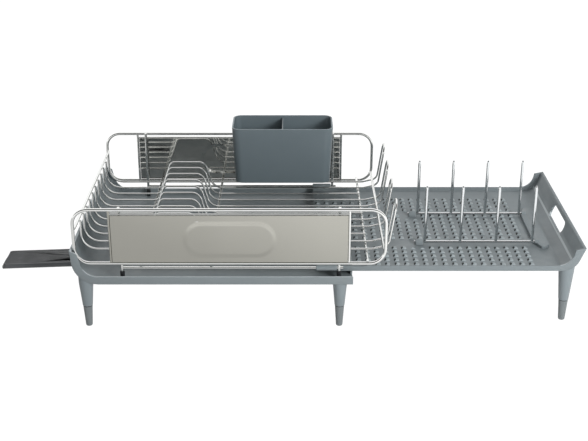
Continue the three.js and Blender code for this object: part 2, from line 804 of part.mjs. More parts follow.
prongPairs.forEach(([first], i) => {
  const mesh = named(`prong_${i + 1}`, prong(), chrome);
  mesh.position.y = ((bottomWireCount - 1) / 2 - first) * bottomWirePitch;
  rack.add(mesh);
});

supportPlaces.forEach((x, i) => {
  const mesh = named(`support_wire_${i + 1}`, crossWire(rackDepth, supportWire), chrome);
  mesh.position.set(x, 0, supportHeight);
  rack.add(mesh);
});

for (const [side, x, z] of [['left', leftCrossPlace, leftCrossZ], ['right', rightCrossPlace, rightCrossZ]]) {
  const mesh = named(`cross_wire_${side}`, crossWire(rackDepth - loopWire - 2 * seatGap, supportWire), chrome);
  mesh.position.set(x, 0, z);
  rack.add(mesh);
}

const caddyMesh = named('caddy', caddy(), caddyGrey);
caddyMesh.position.set(...caddyPlace, caddyBottom);
rack.add(caddyMesh);

const base = new THREE.Group();
base.add(named('base_tray', baseTray(), trayGrey));
for (const [side, sign] of sides) {
  for (const [end, x] of [['left', baseLegLeft], ['right', baseLegRight]]) {
    const upper = named(`base_leg_${side}_${end}`, leg(legTop, baseOuter, [x]), legGrey);
    upper.position.set(x, sign * baseLegPlace, 0);
    const tip = named(`base_leg_tip_${side}_${end}`, legTip(), legGrey);
    tip.position.set(x, sign * baseLegPlace, 0);
    base.add(upper, tip);
  }
}

const spoutGroup = new THREE.Group();
spoutGroup.position.set(...spoutPlace, 0);
spoutGroup.add(named('spout', spout(), darkGrey), named('drain_ring', drainRing(), darkGrey));
base.add(spoutGroup);

const extension = new THREE.Group();
extension.add(named('extension_tray', extensionTray(), trayGrey));
for (const [side, sign] of sides) {
  const body = leg(extensionLegTop, extensionOuter, extensionLegPlace);
  const upper = named(`extension_leg_${side}`, body, legGrey);
  upper.position.set(extensionLegPlace[0], sign * extensionLegPlace[1], 0);
  const tip = named(`extension_leg_tip_${side}`, legTip(), legGrey);
  tip.position.set(extensionLegPlace[0], sign * extensionLegPlace[1], 0);
  const shoe = named(`slide_shoe_${side}`, slideShoe(), darkGrey);
  shoe.position.y = sign * shoePlace;
  extension.add(upper, tip, shoe);
}
extension.add(named('rod_end_plate', rodEndPlate(), trayGrey));
sides.forEach(([side], i) => {
  const row = named(`tine_row_${side}`, tineRow(), chrome);
  const clip = named(`rod_clip_${side}`, rodClip(), trayGrey);
  row.position.y = tineRowPlaces[i];
  clip.position.y = tineRowPlaces[i];
  extension.add(row, clip);
});

// The origin is on the ground, under the middle of the whole object's length
const dishRack = new THREE.Group();
dishRack.add(base, rack, extension);
const extent = new THREE.Box3().setFromObject(dishRack, true);
dishRack.position.x = -(extent.min.x + extent.max.x) / 2;

export default dishRack;
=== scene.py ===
# Expandable dish rack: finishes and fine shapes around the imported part.
# Metres, +X to the extension, +Y to the back. The pieces' and the camera's settings are in millimetres,
# with X from the wire rack's middle. The floor's and the lamps' are in metres.
import math

import bmesh
import bpy
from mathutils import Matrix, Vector


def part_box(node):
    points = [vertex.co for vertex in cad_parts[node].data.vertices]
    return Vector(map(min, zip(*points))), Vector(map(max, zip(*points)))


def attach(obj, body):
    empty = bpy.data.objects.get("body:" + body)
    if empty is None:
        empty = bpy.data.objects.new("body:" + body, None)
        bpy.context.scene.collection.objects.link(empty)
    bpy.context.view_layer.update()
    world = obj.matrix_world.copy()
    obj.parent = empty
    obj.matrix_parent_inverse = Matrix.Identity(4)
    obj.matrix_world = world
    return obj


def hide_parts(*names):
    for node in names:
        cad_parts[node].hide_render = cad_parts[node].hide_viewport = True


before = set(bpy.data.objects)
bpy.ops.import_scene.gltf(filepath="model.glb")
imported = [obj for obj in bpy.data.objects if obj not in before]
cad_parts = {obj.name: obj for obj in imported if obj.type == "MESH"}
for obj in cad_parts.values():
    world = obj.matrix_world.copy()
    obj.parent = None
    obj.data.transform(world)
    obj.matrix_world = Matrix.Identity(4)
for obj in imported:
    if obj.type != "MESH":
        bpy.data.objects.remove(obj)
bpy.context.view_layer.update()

mm = 0.001
near = {"point": 0.01, "wire": 0.02, "turned": 0.01, "node": 0.001, "level": 0.1}  # what counts as one place
facing = 0.5  # how far a face's normal points a way before it counts as facing it
flatAngle = 0.5  # degrees between faces of a node that count as one
loopLow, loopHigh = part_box("side_frame_front")
rackMiddle = (loopLow.x + loopHigh.x) / 2
print("frame loaded, rack middle at", round(rackMiddle, 5))


# Places and selection
def at(x, y, z):
    return Vector((rackMiddle + x * mm, y * mm, z * mm))


def pickNothing():
    if bpy.context.object and bpy.context.object.mode != "OBJECT":
        bpy.ops.object.mode_set(mode="OBJECT")
    bpy.ops.object.select_all(action="DESELECT")


def pickOnly(piece):
    pickNothing()
    piece.select_set(True)
    bpy.context.view_layer.objects.active = piece


def editAll(piece):
    pickOnly(piece)
    bpy.ops.object.mode_set(mode="EDIT")
    bpy.ops.mesh.select_mode(type="VERT")
    bpy.ops.mesh.select_all(action="SELECT")


def leaveEdit():
    bpy.ops.object.mode_set(mode="OBJECT")


def pickVertices(piece, wanted):
    bpy.ops.mesh.select_mode(type="VERT")
    mesh = bmesh.from_edit_mesh(piece.data)
    for vertex in mesh.verts:
        vertex.select = wanted(vertex.co)
    mesh.select_flush(True)
    bmesh.update_edit_mesh(piece.data)


def pickFaces(piece, wanted):
    bpy.ops.mesh.select_mode(type="FACE")
    mesh = bmesh.from_edit_mesh(piece.data)
    for face in mesh.faces:
        face.select_set(wanted(face))
    bmesh.update_edit_mesh(piece.data)


def pickEdges(piece, wanted):
    bpy.ops.mesh.select_mode(type="EDGE")
    mesh = bmesh.from_edit_mesh(piece.data)
    for edge in mesh.edges:
        edge.select_set(wanted(edge))
    bmesh.update_edit_mesh(piece.data)


def smooth(piece, angle=35):
    pickOnly(piece)
    bpy.ops.object.shade_smooth_by_angle(angle=math.radians(angle))


def settle(piece):
    pickOnly(piece)
    bpy.ops.object.transform_apply(location=True, rotation=True, scale=True)


def useModifier(piece, kind, **settings):
    pickOnly(piece)
    bpy.ops.object.modifier_add(type=kind)
    modifier = piece.modifiers[-1]
    for key, value in settings.items():
        setattr(modifier, key, value)
    bpy.ops.object.modifier_apply(modifier=modifier.name)


def softenEdges(piece, width, segments=3, angle=30):
    useModifier(piece, "BEVEL", width=width * mm, segments=segments, limit_method="ANGLE",
                angle_limit=math.radians(angle), miter_outer="MITER_ARC", harden_normals=False)
    smooth(piece)


def joinPieces(name, parts):
    pickNothing()
    for part in parts:
        part.select_set(True)
    bpy.context.view_layer.objects.active = parts[0]
    bpy.ops.object.join()
    whole = bpy.context.object
    whole.name = name
    whole.data.name = name
    return whole


# A bent wire: a chain of points, its corners rounded, thickened as a curve
wireSettings = {"bendRings": 10, "sideSteps": 5, "smoothUpTo": 50}


def drawWire(name, corners, thickness, closed=False):
    places = [at(*corner[:3]) for corner in corners]
    pickNothing()
    bpy.ops.mesh.primitive_plane_add(size=thickness * mm)
    chain = bpy.context.object
    editAll(chain)
    bpy.ops.mesh.merge(type="CENTER")
    bpy.ops.transform.translate(value=places[0])
    for here, there in zip(places, places[1:]):
        bpy.ops.mesh.extrude_vertices_move(TRANSFORM_OT_translate={"value": there - here})
    if closed:
        ends = (places[0], places[-1])
        pickVertices(chain, lambda co: min((co - end).length for end in ends) < near["point"] * mm)
        bpy.ops.mesh.edge_face_add()
    for i, corner in enumerate(corners):
        radius = corner[3] if len(corner) > 3 else 0
        if radius:
            before = (places[i] - places[i - 1]).normalized()
            after = (places[(i + 1) % len(places)] - places[i]).normalized()
            turn = before.angle(after)
            pickVertices(chain, lambda co: (co - places[i]).length < near["point"] * mm)
            bpy.ops.mesh.bevel(offset=radius * mm * math.tan(turn / 2), segments=wireSettings["bendRings"],
                               profile=0.5, affect="VERTICES", clamp_overlap=False)
    bpy.ops.mesh.select_all(action="SELECT")
    bpy.ops.mesh.remove_doubles(threshold=near["wire"] * mm)
    leaveEdit()
    bpy.ops.object.convert(target="CURVE")
    curve = bpy.context.object.data
    curve.bevel_depth = thickness / 2 * mm
    curve.bevel_resolution = wireSettings["sideSteps"]
    curve.use_fill_caps = True
    bpy.ops.object.convert(target="MESH")
    wire = bpy.context.object
    wire.name = name
    wire.data.name = name
    smooth(wire, wireSettings["smoothUpTo"])
    return wire


# A turned piece: a profile of (radius, height) spun about a line along Z or X
def spinPiece(name, profile, centre, steps, along="Z"):
    across = Vector((1, 0, 0)) if along == "Z" else Vector((0, 0, 1))
    axis = Vector((0, 0, 1)) if along == "Z" else Vector((1, 0, 0))
    points = [centre + across * radius * mm + axis * height * mm for radius, height in profile]
    pickNothing()
    bpy.ops.mesh.primitive_plane_add(size=mm)
    piece = bpy.context.object
    editAll(piece)
    bpy.ops.mesh.merge(type="CENTER")
    bpy.ops.transform.translate(value=points[0])
    for here, there in zip(points, points[1:]):
        bpy.ops.mesh.extrude_vertices_move(TRANSFORM_OT_translate={"value": there - here})
    bpy.ops.mesh.select_all(action="SELECT")
    bpy.ops.mesh.spin(steps=steps, angle=2 * math.pi, center=centre, axis=axis)
    bpy.ops.mesh.select_all(action="SELECT")
    bpy.ops.mesh.remove_doubles(threshold=near["turned"] * mm)
    bpy.ops.mesh.normals_make_consistent(inside=False)
    leaveEdit()
    piece.name = name
    piece.data.name = name
    smooth(piece)
    return piece


# A worked copy of a CAD node: merged, its flat faces joined, its edges softened
def workedCopy(node, name, width):
    piece = bpy.data.objects.new(name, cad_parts[node].data.copy())
    bpy.context.scene.collection.objects.link(piece)
    editAll(piece)
    bpy.ops.mesh.customdata_custom_splitnormals_clear()
    bpy.ops.mesh.remove_doubles(threshold=near["node"] * mm)
    bpy.ops.mesh.dissolve_limited(angle_limit=math.radians(flatAngle))
    leaveEdit()
    piece.data.materials.clear()
    if width:
        softenEdges(piece, width)
    else:
        smooth(piece)
    return piece


def dress(piece, material, slot, body, *nodes):
    piece.data.materials.clear()
    piece.data.materials.append(material)
    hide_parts(*nodes)
    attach(piece, body)


# Colours are given as they look on a screen, 0 to 255
def screenColour(red, green, blue):
    def linear(value):
        share = value / 255
        return share / 12.92 if share <= 0.04045 else ((share + 0.055) / 1.055) ** 2.4
    return (linear(red), linear(green), linear(blue), 1)


def tinted(colour, share):
    return tuple(value * share for value in colour[:3]) + (1,)


# Steps of a node tree: each takes numbers or the outputs of other steps, and gives its own output
def feed(tree, target, value):
    if isinstance(value, bpy.types.NodeSocket):
        tree.links.new(value, target)
    else:
        target.default_value = value


def mathStep(tree, operation, *values):
    step = tree.nodes.new("ShaderNodeMath")
    step.operation = operation
    for target, value in zip(step.inputs, values):
        feed(tree, target, value)
    return step.outputs["Value"]


def rangeStep(tree, value, source, result, curve="LINEAR"):
    step = tree.nodes.new("ShaderNodeMapRange")
    step.interpolation_type = curve
    for name, limit in zip(("From Min", "From Max", "To Min", "To Max"), (*source, *result)):
        feed(tree, step.inputs[name], limit)
    feed(tree, step.inputs["Value"], value)
    return step.outputs["Result"]


def mixStep(tree, factor, first, second, kind="FLOAT"):
    step = tree.nodes.new("ShaderNodeMix")
    step.data_type = kind
    for name, value in (("Factor", factor), ("A", first), ("B", second)):
        feed(tree, step.inputs[name], value)
    return step.outputs["Result"]


def partsOf(tree, vector):
    step = tree.nodes.new("ShaderNodeSeparateXYZ")
    feed(tree, step.inputs["Vector"], vector)
    return step.outputs


def startMaterial(name):
    material = bpy.data.materials.new(name)
    material.use_nodes = True
    tree = material.node_tree
    tree.nodes.clear()
    output = tree.nodes.new("ShaderNodeOutputMaterial")
    shader = tree.nodes.new("ShaderNodeBsdfPrincipled")
    tree.links.new(shader.outputs["BSDF"], output.inputs["Surface"])
    return material, tree, shader


noiseReach = (0.3, 0.7)  # nearly all of a noise lies between these


def objectNoise(tree, scale, detail, stretch=(1, 1, 1)):
    place = tree.nodes.new("ShaderNodeTexCoord")
    mapping = tree.nodes.new("ShaderNodeMapping")
    mapping.inputs["Scale"].default_value = stretch
    noise = tree.nodes.new("ShaderNodeTexNoise")
    noise.inputs["Scale"].default_value = scale
    noise.inputs["Detail"].default_value = detail
    tree.links.new(place.outputs["Object"], mapping.inputs["Vector"])
    tree.links.new(mapping.outputs["Vector"], noise.inputs["Vector"])
    return noise.outputs["Fac"]


def finishSurface(tree, shader, colours, patches, roughness, smudges, marks, strength, height):
    tree.links.new(mixStep(tree, patches, *colours, "RGBA"), shader.inputs["Base Color"])
    tree.links.new(rangeStep(tree, smudges, noiseReach, roughness), shader.inputs["Roughness"])
    bump = tree.nodes.new("ShaderNodeBump")
    bump.inputs["Strength"].default_value = strength
    bump.inputs["Distance"].default_value = height * mm
    tree.links.new(marks, bump.inputs["Height"])
    tree.links.new(bump.outputs["Normal"], shader.inputs["Normal"])


# Noises are (scale, detail) and the streaks' stretch, marks are (strength, height)
plasticFinish = {
    "drift": 0.06, "patches": (9, 3), "smudges": (60, 4), "grain": (1400, 2), "marks": (0.25, 0.05),
}
wireFinish = {"duller": 0.9, "patches": (45, 3), "smudges": (160, 3), "draw": (500, 2), "marks": (0.08, 0.02)}
sheetFinish = {"duller": 0.93, "patches": (14, 2), "streaks": (1, 4, (6, 900, 900)), "markHeight": 0.01}


# Moulded plastic: fine grain, a slow drift of shade, and roughness that varies
def plastic(name, shade, roughness=(0.38, 0.52)):
    material, tree, shader = startMaterial(name)
    base = screenColour(*shade)
    colours = (tinted(base, 1 - plasticFinish["drift"]), tinted(base, 1 + plasticFinish["drift"]))
    finishSurface(tree, shader, colours, objectNoise(tree, *plasticFinish["patches"]), roughness,
                  objectNoise(tree, *plasticFinish["smudges"]), objectNoise(tree, *plasticFinish["grain"]),
                  *plasticFinish["marks"])
    return material


# Plated wire: bright, slightly uneven, with faint draw marks
def platedWire(name, shade, roughness):
    material, tree, shader = startMaterial(name)
    base = screenColour(*shade)
    finishSurface(tree, shader, (tinted(base, wireFinish["duller"]), base),
                  objectNoise(tree, *wireFinish["patches"]), roughness,
                  objectNoise(tree, *wireFinish["smudges"]), objectNoise(tree, *wireFinish["draw"]),
                  *wireFinish["marks"])
    shader.inputs["Metallic"].default_value = 1
    return material


# Sheet steel rolled along X
def sheetSteel(name, shade, roughness, marks):
    material, tree, shader = startMaterial(name)
    base = screenColour(*shade)
    streaks = objectNoise(tree, *sheetFinish["streaks"])
    finishSurface(tree, shader, (tinted(base, sheetFinish["duller"]), base),
                  objectNoise(tree, *sheetFinish["patches"]), roughness, streaks, streaks,
                  marks, sheetFinish["markHeight"])
    shader.inputs["Metallic"].default_value = 1
    return material


chrome = platedWire("chromeWire", (238, 239, 237), (0.05, 0.12))
tineChrome = platedWire("tineChrome", (226, 229, 230), (0.08, 0.16))
satinSteel = sheetSteel("satinSteel", (179, 178, 170), (0.23, 0.27), 0.03)
brightSteel = sheetSteel("brightSteel", (212, 212, 208), (0.03, 0.06), 0.02)
trayPlastic = plastic("trayPlastic", (124, 132, 135))
legPlastic = plastic("legPlastic", (128, 137, 141), roughness=(0.32, 0.45))
tipPlastic = plastic("tipPlastic", (116, 122, 124), roughness=(0.4, 0.5))
# Painted highlights for the rims of the trays and the caddy
rimWear = plastic("rimWear", (176, 184, 187))
caddyWear = plastic("caddyWear", (138, 149, 154))
# Painted shade: the nubs' left faces and a band at the top of the legs' tips
nubShade = plastic("nubShade", (30, 34, 36), roughness=(0.6, 0.7))
# Painted highlight: all of each nub but its left faces
nubWear = plastic("nubWear", (150, 159, 162))
caddyPlastic = plastic("caddyPlastic", (97, 108, 113), roughness=(0.3, 0.42))
darkPlastic = plastic("darkPlastic", (80, 83, 85), roughness=(0.4, 0.55))
capRubber = plastic("capRubber", (28, 30, 33), roughness=(0.5, 0.7))
print("materials ready")

# Side frames
sideFrame = {
    "wire": 5.3, "corner": 24, "post": 4, "postPlace": 184, "hem": 2.4, "hemDrop": 6.9,
}
for side in ("front", "back"):
    low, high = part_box(f"side_frame_{side}")
    reach = (high.x - low.x) / mm / 2 - sideFrame["wire"] / 2
    y = (low.y + high.y) / 2 / mm
    bottom = low.z / mm + sideFrame["wire"] / 2
    top = high.z / mm - sideFrame["wire"] / 2
    bend = sideFrame["corner"]
    loop = drawWire("loop", [(reach, y, top, bend), (reach, y, bottom, bend), (-reach, y, bottom, bend),
                             (-reach, y, top, bend)], sideFrame["wire"], closed=True)
    parts = [loop]
    for x in (-sideFrame["postPlace"], sideFrame["postPlace"]):
        parts.append(drawWire("post", [(x, y, bottom), (x, y, top)], sideFrame["post"]))
    hem = top - sideFrame["hemDrop"]
    parts.append(drawWire("hem", [(-sideFrame["postPlace"], y, hem), (sideFrame["postPlace"], y, hem)],
                          sideFrame["hem"]))
    frameLoop = joinPieces(f"sideFrame_{side}", parts)
    dress(frameLoop, chrome, "chrome_wire", "rack", f"side_frame_{side}")
    frameLoop.data.materials.append(satinSteel)  # the front left post is dull like the sheet beside it
    for face in frameLoop.data.polygons:
        beside = abs((face.center.x - rackMiddle) / mm + sideFrame["postPlace"]) < sideFrame["post"]
        between = bottom + sideFrame["wire"] / 2 < face.center.z / mm < top - sideFrame["wire"] / 2
        face.material_index = 1 if side == "front" and beside and between else 0
print("side frames")

# Support wires and end cross wires
crossWire = {"wire": 4.2}
for node in ["support_wire_1", "support_wire_2", "support_wire_3", "cross_wire_left", "cross_wire_right"]:
    low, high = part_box(node)
    x = ((low.x + high.x) / 2 - rackMiddle) / mm
    z = (low.z + high.z) / 2 / mm
    wire = drawWire(node.replace("_wire", "Wire"), [(x, low.y / mm, z), (x, high.y / mm, z)],
                    crossWire["wire"])
    dress(wire, chrome, "chrome_wire", "rack", node)
print("support and cross wires")

# Bottom wires, and the hairpins that carry on from pairs of them
bottomWire = {
    "wire": 3.2, "gap": 0.3, "endBend": 24, "overCross": 2, "humpHeight": 48.3,
    "humpPlaces": (-135.7, -118.7, -58, -44.8), "humpBends": (10, 8, 15, 20),
    "riseStart": 222, "riseBend": 20, "straight": (1, 11),
}
prong = {"pairs": ((1, 2), (4, 5), (7, 8), (10, 11)), "lean": 8.4, "rise": 71, "bend": 12, "reach": 9.3}
crossLow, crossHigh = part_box("cross_wire_right")


def bottomLine(number):
    low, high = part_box(f"bottom_wire_{number}")
    y = (low.y + high.y) / 2 / mm
    half = bottomWire["wire"] / 2
    floor = low.z / mm + half
    left = (low.x - rackMiddle) / mm + half
    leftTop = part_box("cross_wire_left")[0].z / mm + crossWire["wire"] / 2 + bottomWire["overCross"]
    line = [(left, y, leftTop), (left, y, floor, bottomWire["endBend"])]
    if number not in bottomWire["straight"]:
        crest = floor + bottomWire["humpHeight"]
        heights = (floor, crest, crest, floor)
        for x, z, bend in zip(bottomWire["humpPlaces"], heights, bottomWire["humpBends"]):
            line.append((x, y, z, bend))
    return y, floor, line


def hairpinSide(y, floor):
    under = (crossWire["wire"] + bottomWire["wire"]) / 2 + bottomWire["gap"]
    run = ((crossLow.x + crossHigh.x) / 2 - rackMiddle) / mm - bottomWire["riseStart"]
    rise = (crossLow.z + crossHigh.z) / 2 / mm - floor
    slope = math.atan2(rise, run) - math.asin(under / math.hypot(rise, run))
    reach = run / math.cos(slope) + prong["reach"]
    x = bottomWire["riseStart"] + reach * math.cos(slope)
    z = floor + reach * math.sin(slope)
    topX = x + prong["rise"] * math.tan(math.radians(prong["lean"]))
    side = [(bottomWire["riseStart"], y, floor, bottomWire["riseBend"]), (x, y, z, prong["bend"])]
    return side, topX, z + prong["rise"]


for i, (first, second) in enumerate(prong["pairs"]):
    yFirst, floor, lineFirst = bottomLine(first)
    ySecond, floor, lineSecond = bottomLine(second)
    sideFirst, topX, topZ = hairpinSide(yFirst, floor)
    sideSecond, topX, topZ = hairpinSide(ySecond, floor)
    topBend = (yFirst - ySecond) / 2
    corners = lineFirst + sideFirst + [(topX, yFirst, topZ, topBend), (topX, ySecond, topZ, topBend)]
    corners += sideSecond[::-1] + lineSecond[::-1]
    hairpin = drawWire(f"hairpin_{i + 1}", corners, bottomWire["wire"])
    dress(hairpin, chrome, "chrome_wire", "rack", f"bottom_wire_{first}", f"bottom_wire_{second}",
          f"prong_{i + 1}")
paired = [number for pair in prong["pairs"] for number in pair]
for number in range(1, 12):
    if number not in paired:
        node = f"bottom_wire_{number}"
        y, floor, line = bottomLine(number)
        right = (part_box(node)[1].x - rackMiddle) / mm
        dress(drawWire(f"bottomWire_{number}", line + [(right, y, floor)], bottomWire["wire"]),
              chrome, "chrome_wire", "rack", node)
print("bottom wires and hairpins")

# Foot frames, caps and sleeves
footFrame = {"wire": 4.6, "place": 168.8}
for side in ("front", "back"):
    low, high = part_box(f"foot_frame_{side}")
    y = (low.y + high.y) / 2 / mm
    bar = (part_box(f"foot_sleeve_{side}")[0].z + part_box(f"foot_sleeve_{side}")[1].z) / 2 / mm
    place = footFrame["place"]
    parts = [drawWire("footPost", [(x, y, low.z / mm), (x, y, high.z / mm)], footFrame["wire"])
             for x in (-place, place)]
    parts.append(drawWire("footBar", [(-place, y, bar), ((high.x - rackMiddle) / mm, y, bar)],
                          footFrame["wire"]))
    dress(joinPieces(f"footFrame_{side}", parts), chrome, "chrome_wire", "rack", f"foot_frame_{side}")

footCap = {"radius": 3.6, "round": 0.8, "play": 0.3, "sole": 0.2, "sides": 32}  # sole: share of the height
footSleeve = {"radius": 4.7, "bore": 2.6, "round": 0.7, "sides": 32}
for side in ("front", "back"):
    for end in ("left", "right"):
        node = f"foot_cap_{side}_{end}"
        low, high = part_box(node)
        centre = Vector(((low.x + high.x) / 2, (low.y + high.y) / 2, low.z))
        height = (high.z - low.z) / mm
        radius, edge = footCap["radius"], footCap["round"]
        bore = footFrame["wire"] / 2 + footCap["play"]
        sole = height * footCap["sole"]
        cap = spinPiece(f"footCap_{side}_{end}", [
            (0, 0), (radius - edge, 0), (radius, edge), (radius, height - edge), (radius - edge / 2, height),
            (bore, height), (bore, sole), (0, sole)], centre, footCap["sides"])
        dress(cap, capRubber, "cap_rubber", "rack", node)
    node = f"foot_sleeve_{side}"
    low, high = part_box(node)
    centre = Vector((low.x, (low.y + high.y) / 2, (low.z + high.z) / 2))
    length = (high.x - low.x) / mm
    radius, bore, edge = footSleeve["radius"], footSleeve["bore"], footSleeve["round"]
    sleeve = spinPiece(f"footSleeve_{side}", [
        (bore, 0), (radius - edge, 0), (radius, edge), (radius, length - edge), (radius - edge, length),
        (bore, length), (bore, 0)], centre, footSleeve["sides"], along="X")
    dress(sleeve, trayPlastic, "tray_plastic", "rack", node)
print("foot frames")

# Side panels: satin outside, bright inside, the raised field with a wide soft ridge
field = {
    "length": 138, "height": 53.8, "bottom": 11.05, "rise": 1, "sheet": 1, "ridge": 2.6, "round": 1.3,
    "reach": 26.4, "around": 30, "band": (20, 33), "crease": 0.001, "lipSteps": 4, "edge": 0.35, "weight": 60,
}


def resizeField(panel, centre, level, wanted, grow):
    pickVertices(panel, lambda co: abs(co.y - level) < near["level"] * mm and wanted(fieldReach(co, centre)))
    wide, tall = ((field[side] + 2 * grow) / field[side] for side in ("length", "height"))
    bpy.ops.transform.resize(value=(wide, 1, tall), center_override=centre)


# How far a point lies from the field's straight middle line, in millimetres
def fieldReach(co, centre):
    straight = (field["length"] - field["height"]) / 2 * mm
    return math.hypot(max(abs(co.x - centre.x) - straight, 0), co.z - centre.z) / mm


for side, sign in (("front", -1), ("back", 1)):
    panel = workedCopy(f"panel_{side}", f"panel_{side}_sheet", 0)
    low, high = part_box(f"panel_{side}")
    outer = low.y if sign < 0 else high.y
    sheet = outer - sign * field["rise"] * mm
    inner = sheet - sign * field["sheet"] * mm
    centre = Vector(((low.x + high.x) / 2, 0, low.z + (field["bottom"] + field["height"] / 2) * mm))
    edge, around = field["reach"], field["around"]
    first, last = field["band"]
    editAll(panel)
    resizeField(panel, centre, outer, lambda reach: reach < around, -field["ridge"])
    resizeField(panel, centre, sheet, lambda reach: reach < edge, -field["ridge"])
    resizeField(panel, centre, sheet, lambda reach: edge < reach < around, field["ridge"])
    resizeField(panel, centre, inner, lambda reach: reach < around, field["ridge"])
    for level in (outer, sheet):
        pickEdges(panel, lambda lip: all(
            abs(end.co.y - level) < near["level"] * mm and first < fieldReach(end.co, centre) < last
            for end in lip.verts)
            and abs(lip.link_faces[0].normal.y - lip.link_faces[1].normal.y) > field["crease"])
        bpy.ops.mesh.bevel(offset=field["round"] * mm, segments=field["lipSteps"], affect="EDGES")
    leaveEdit()
    softenEdges(panel, field["edge"])
    useModifier(panel, "WEIGHTED_NORMAL", weight=field["weight"], keep_sharp=True)
    dress(panel, satinSteel, "satin_steel", "rack", f"panel_{side}")
    panel.data.materials.append(brightSteel)
    for face in panel.data.polygons:
        face.material_index = 1 if face.normal.y * sign < -facing else 0
print("side panels")

# Plastic pieces: (name, edge, material, slot, body)
trayPieces = {
    "base_tray": ("baseTray", 0.9, trayPlastic, "tray_plastic", "base"),
    "extension_tray": ("extensionTray", 0.9, trayPlastic, "tray_plastic", "extension"),
    "rod_end_plate": ("rodEndPlate", 0.4, trayPlastic, "tray_plastic", "extension"),
    "rod_clip_front": ("rodClipFront", 0.4, trayPlastic, "tray_plastic", "extension"),
    "rod_clip_back": ("rodClipBack", 0.4, trayPlastic, "tray_plastic", "extension"),
    "slide_shoe_front": ("slideShoeFront", 0.5, darkPlastic, "dark_plastic", "extension"),
    "slide_shoe_back": ("slideShoeBack", 0.5, darkPlastic, "dark_plastic", "extension"),
    "spout": ("spoutTrough", 0.5, darkPlastic, "dark_plastic", "spout"),
    "caddy": ("cutleryCaddy", 0.7, caddyPlastic, "caddy_plastic", "caddy"),
}
# Rims get a painted highlight on their narrow upward faces: (0 low or 1 high end of the piece, level counted
# from it, painted highlight)
highlightedRims = {"base_tray": (0, 9, rimWear), "extension_tray": (0, 9, rimWear), "caddy": (1, -3, caddyWear)}
narrow = 1.35  # a strip of rim has less area than this times its outline


def paintRimHighlights(piece, level, paintedLight):
    piece.data.materials.append(paintedLight)
    last = len(piece.data.materials) - 1
    for face in piece.data.polygons:
        ring = [piece.data.vertices[number].co for number in face.vertices]
        around = sum((here - there).length for here, there in zip(ring, ring[1:] + ring[:1]))
        thin = face.area / around < narrow * mm
        # painted highlight on the narrow upward faces above the level
        if thin and face.normal.z > facing and face.center.z > level:
            face.material_index = last


# Nubs on the extension's floor: a wedge repeated in three blocks, none beside the bearings,
# and the column that the folded tines lie over is lower
nub = {
    "floor": 3, "size": (9, 9.4, 2.5), "sink": 0.2, "crest": (0.3, 0.66), "crestShift": (0.1, -0.3),
    "round": 0.3, "roundSteps": 1, "roundAngle": 20,
    "right": 473.8, "pitch": 15.14, "columns": 23, "lowColumn": 428.4, "lowShare": 0.6,
    "blocks": ((-148.9, 5, 15.1), (-48, 7, 15.4), (68.8, 4, 16)), "bare": (286, 314, 16),
}


def nubBlock(floorTop, start, rows, pitch):
    height = nub["size"][2]
    left = nub["right"] - nub["pitch"] * (nub["columns"] - 1)
    top = at(left, start, floorTop - nub["sink"] + height)
    pickNothing()
    bpy.ops.mesh.primitive_cube_add(size=mm, location=at(left, start, floorTop - nub["sink"] + height / 2))
    block = bpy.context.object
    block.scale = nub["size"]
    settle(block)
    editAll(block)
    pickFaces(block, lambda face: face.normal.z > facing)
    bpy.ops.transform.resize(value=(*nub["crest"], 1), center_override=top)
    bpy.ops.transform.translate(value=(nub["crestShift"][0] * mm, nub["crestShift"][1] * mm, 0))
    leaveEdit()
    softenEdges(block, nub["round"], nub["roundSteps"], nub["roundAngle"])
    # Each nub gets a painted highlight, and its left faces get painted shade
    for material in (nubWear, nubShade):
        block.data.materials.append(material)
    for face in block.data.polygons:
        face.material_index = 1 if face.normal.x < -facing else 0
    useModifier(block, "ARRAY", count=nub["columns"], use_relative_offset=False, use_constant_offset=True,
                constant_offset_displace=(nub["pitch"] * mm, 0, 0))
    useModifier(block, "ARRAY", count=rows, use_relative_offset=False, use_constant_offset=True,
                constant_offset_displace=(0, pitch * mm, 0))
    return block


spoutWeight = 60  # its long flat walls decide the shading of the bends between them
for node, (name, width, material, slot, body) in trayPieces.items():
    piece = workedCopy(node, name, width)
    if node == "extension_tray":
        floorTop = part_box(node)[0].z / mm + nub["floor"]
        nubs = joinPieces("nubs", [nubBlock(floorTop, *block) for block in nub["blocks"]])
        editAll(nubs)
        for clip in ("rod_clip_front", "rod_clip_back"):
            low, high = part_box(clip)
            row = (low.y + high.y) / 2
            first, last, reach = (limit * mm for limit in nub["bare"])
            pickVertices(nubs, lambda co: first < co.x - rackMiddle < last and abs(co.y - row) < reach)
            bpy.ops.mesh.delete(type="VERT")
        lowPlace = at(nub["lowColumn"], 0, floorTop)
        length = nub["size"][0] * mm
        pickVertices(nubs, lambda co: abs(co.x - lowPlace.x) < length and co.z > lowPlace.z)
        bpy.ops.transform.resize(value=(1, 1, nub["lowShare"]), center_override=lowPlace)
        leaveEdit()
        piece = joinPieces(name, [piece, nubs])
    if node == "spout":
        useModifier(piece, "WEIGHTED_NORMAL", weight=spoutWeight, keep_sharp=True)
    paintedLights = [paintedLight for paintedLight in piece.data.materials if paintedLight]  # the nubs' painted highlight and painted shade, which dress clears
    paintedLightOf = [paintedLights and piece.data.materials[face.material_index] for face in piece.data.polygons]
    dress(piece, material, slot, body, node)
    for paintedLight in paintedLights:
        piece.data.materials.append(paintedLight)
    for face, paintedLight in zip(piece.data.polygons, paintedLightOf):
        face.material_index = 1 + paintedLights.index(paintedLight) if paintedLight else 0
    if node in highlightedRims:
        end, height, paintedLight = highlightedRims[node]
        paintRimHighlights(piece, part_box(node)[end].z + height * mm, paintedLight)
print("trays, plate, spout and caddy")

